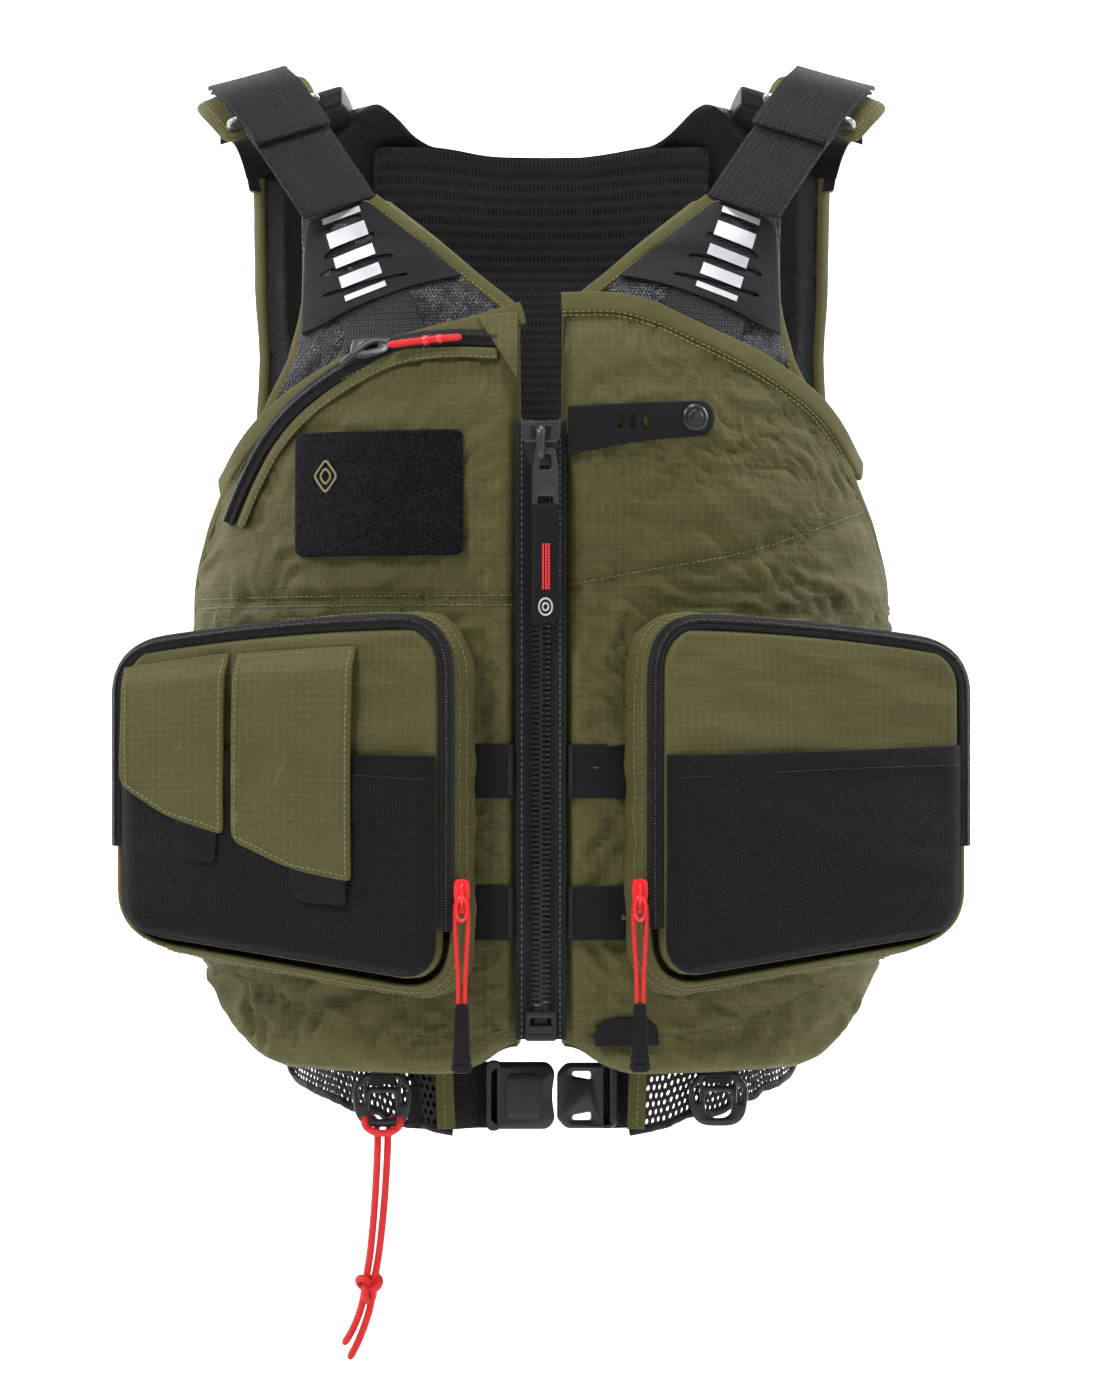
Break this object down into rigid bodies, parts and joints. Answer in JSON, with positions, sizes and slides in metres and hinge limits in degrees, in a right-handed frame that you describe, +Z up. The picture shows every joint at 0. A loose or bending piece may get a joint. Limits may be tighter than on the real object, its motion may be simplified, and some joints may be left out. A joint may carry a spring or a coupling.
{
  "type": "fishing vest",
  "caption": "Buoyant fishing vest: front zip, zipped cargo pockets with tool flaps, chest pocket, webbing shoulder straps and a waist buckle.",
  "frame": {"origin": "middle of the wearer's shoulder line", "axes": "+Z up, -Y out of the chest, +X to the wearer's left"},
  "size_m": [0.485, 0.3186, 0.7413],
  "materials": {
    "olive_fabric": "olive ripstop, matt",
    "black_nylon": "black nylon, soft sheen",
    "black_mesh": "black knitted mesh",
    "foam": "closed-cell foam",
    "webbing": "black ribbed webbing",
    "rubber": "black coated rubber",
    "loop_pile": "black loop pile",
    "black_plastic": "moulded black acetal",
    "grey_plastic": "moulded grey acetal",
    "red_plastic": "moulded red plastic",
    "red_cord": "braided red cord",
    "buckle_metal": "satin grey metal"
  },
  "bodies": {
    "back": {"back_cover": "olive_fabric", "back_foam": "foam", "back_mesh": "black_mesh", "shoulder_pad_right": "olive_fabric", "shoulder_pad_left": "olive_fabric", "waist_wing_right": "black_mesh", "waist_wing_left": "black_mesh", "waist_web_right": "webbing", "buckle_socket": "black_plastic"},
    "belt_plug": {"buckle_plug": "black_plastic", "waist_web_left": "webbing"},
    "front_right": {"front_cover_right": "olive_fabric", "front_foam_right": "foam", "front_lining_right": "black_nylon", "shoulder_strap_right": "webbing", "strap_loop_right": "buckle_metal", "rubber_yoke_right": "rubber", "zip_half_right": "black_plastic", "pocket_tub_right": "olive_fabric", "pocket_zip_right": "black_plastic", "lash_tab_upper_right": "rubber", "lash_tab_lower_right": "rubber", "ring_web_right": "webbing", "loop_patch": "loop_pile", "chest_zip": "black_plastic"},
    "door_right": {"pocket_door_right": "olive_fabric", "stretch_pocket_right": "black_mesh"},
    "pocket_slider_right": {"pocket_slider_right": "red_plastic"},
    "pocket_pull_right": {"pull_cord_right": "red_cord", "pull_grip_right": "rubber"},
    "ring_right": {"lash_ring_right": "black_plastic", "lanyard_leg_a": "red_cord", "lanyard_leg_b": "red_cord", "lanyard_knot": "red_cord"},
    "front_left": {"front_cover_left": "olive_fabric", "front_foam_left": "foam", "front_lining_left": "black_nylon", "shoulder_strap_left": "webbing", "strap_loop_left": "buckle_metal", "rubber_yoke_left": "rubber", "zip_half_left": "black_plastic", "pocket_tub_left": "olive_fabric", "pocket_zip_left": "black_plastic", "lash_tab_upper_left": "rubber", "lash_tab_lower_left": "rubber", "ring_web_left": "webbing"},
    "door_left": {"pocket_door_left": "olive_fabric", "stretch_pocket_left": "black_mesh"},
    "pocket_slider_left": {"pocket_slider_left": "red_plastic"},
    "pocket_pull_left": {"pull_cord_left": "red_cord", "pull_grip_left": "rubber"},
    "ring_left": {"lash_ring_left": "black_plastic"},
    "main_slider": {"main_slider": "black_plastic"},
    "main_pull": {"main_pull_frame": "grey_plastic", "main_pull_tab": "rubber"},
    "flap_outer": {"tool_flap_outer": "olive_fabric"},
    "flap_inner": {"tool_flap_inner": "olive_fabric"},
    "chest_slider": {"chest_slider": "grey_plastic"},
    "chest_pull": {"chest_cord": "red_cord"},
    "snap_strap": {"snap_strap": "rubber"}
  },
  "joints": [
    {"name": "front_right_open", "type": "hinge", "parent": "back", "child": "front_right", "pos_m": [-0.166, -0.02, -0.003], "axis": [-0.0698, 0.0179, -0.9974], "range_deg": [0, 70]},
    {"name": "front_left_open", "type": "hinge", "parent": "back", "child": "front_left", "pos_m": [0.166, -0.02, -0.003], "axis": [-0.0698, -0.0179, 0.9974], "range_deg": [0, 70]},
    {"name": "main_zip_slide", "type": "slide", "parent": "front_left", "child": "main_slider", "axis": [0, 0, 1], "range_m": [-0.3, 0]},
    {"name": "main_pull_swing", "type": "hinge", "parent": "main_slider", "child": "main_pull", "pos_m": [0.0025, -0.1593, -0.2206], "axis": [-1, 0, 0], "range_deg": [0, 150]},
    {"name": "door_right_open", "type": "hinge", "parent": "front_right", "child": "door_right", "pos_m": [-0.06355, -0.17109, -0.51291], "axis": [0.9199, -0.3717, -0.1251], "range_deg": [0, 75]},
    {"name": "pocket_zip_slide_right", "type": "slide", "parent": "front_right", "child": "pocket_slider_right", "axis": [0, 0, 1], "range_m": [0, 0.1]},
    {"name": "pocket_pull_swing_right", "type": "hinge", "parent": "pocket_slider_right", "child": "pocket_pull_right", "pos_m": [-0.04322, -0.18563, -0.4676], "axis": [-1, 0, 0], "range_deg": [0, 120]},
    {"name": "ring_right_swing", "type": "hinge", "parent": "front_right", "child": "ring_right", "pos_m": [-0.09, -0.09839, -0.572], "axis": [-1, 0, 0], "range_deg": [-5, 80]},
    {"name": "door_left_open", "type": "hinge", "parent": "front_left", "child": "door_left", "pos_m": [0.06355, -0.17109, -0.51291], "axis": [0.9199, 0.3717, 0.1251], "range_deg": [0, 75]},
    {"name": "pocket_zip_slide_left", "type": "slide", "parent": "front_left", "child": "pocket_slider_left", "axis": [0, 0, 1], "range_m": [0, 0.1]},
    {"name": "pocket_pull_swing_left", "type": "hinge", "parent": "pocket_slider_left", "child": "pocket_pull_left", "pos_m": [0.05435, -0.18114, -0.4676], "axis": [-1, 0, 0], "range_deg": [0, 120]},
    {"name": "ring_left_swing", "type": "hinge", "parent": "front_left", "child": "ring_left", "pos_m": [0.101, -0.09248, -0.572], "axis": [-1, 0, 0], "range_deg": [-5, 80]},
    {"name": "flap_outer_lift", "type": "hinge", "parent": "door_right", "child": "flap_outer", "pos_m": [-0.17407, -0.13765, -0.33244], "axis": [-0.9217, 0.3724, -0.1086], "range_deg": [0, 120]},
    {"name": "flap_inner_lift", "type": "hinge", "parent": "door_right", "child": "flap_inner", "pos_m": [-0.10175, -0.16687, -0.32789], "axis": [-0.9257, 0.374, -0.0565], "range_deg": [0, 120]},
    {"name": "chest_zip_slide", "type": "slide", "parent": "front_right", "child": "chest_slider", "axis": [0.9249, -0.3597, 0.1233], "range_m": [0, 0.03]},
    {"name": "chest_pull_swing", "type": "hinge", "parent": "chest_slider", "child": "chest_pull", "pos_m": [-0.086, -0.1376, -0.1604], "axis": [0, 0, -1], "range_deg": [0, 90]},
    {"name": "snap_strap_open", "type": "hinge", "parent": "front_left", "child": "snap_strap", "pos_m": [0.018, -0.151, -0.208], "axis": [0, 0, -1], "range_deg": [0, 80]},
    {"name": "buckle_release", "type": "slide", "parent": "back", "child": "belt_plug", "axis": [1, 0, 0], "range_m": [0, 0.016]}
  ]
}
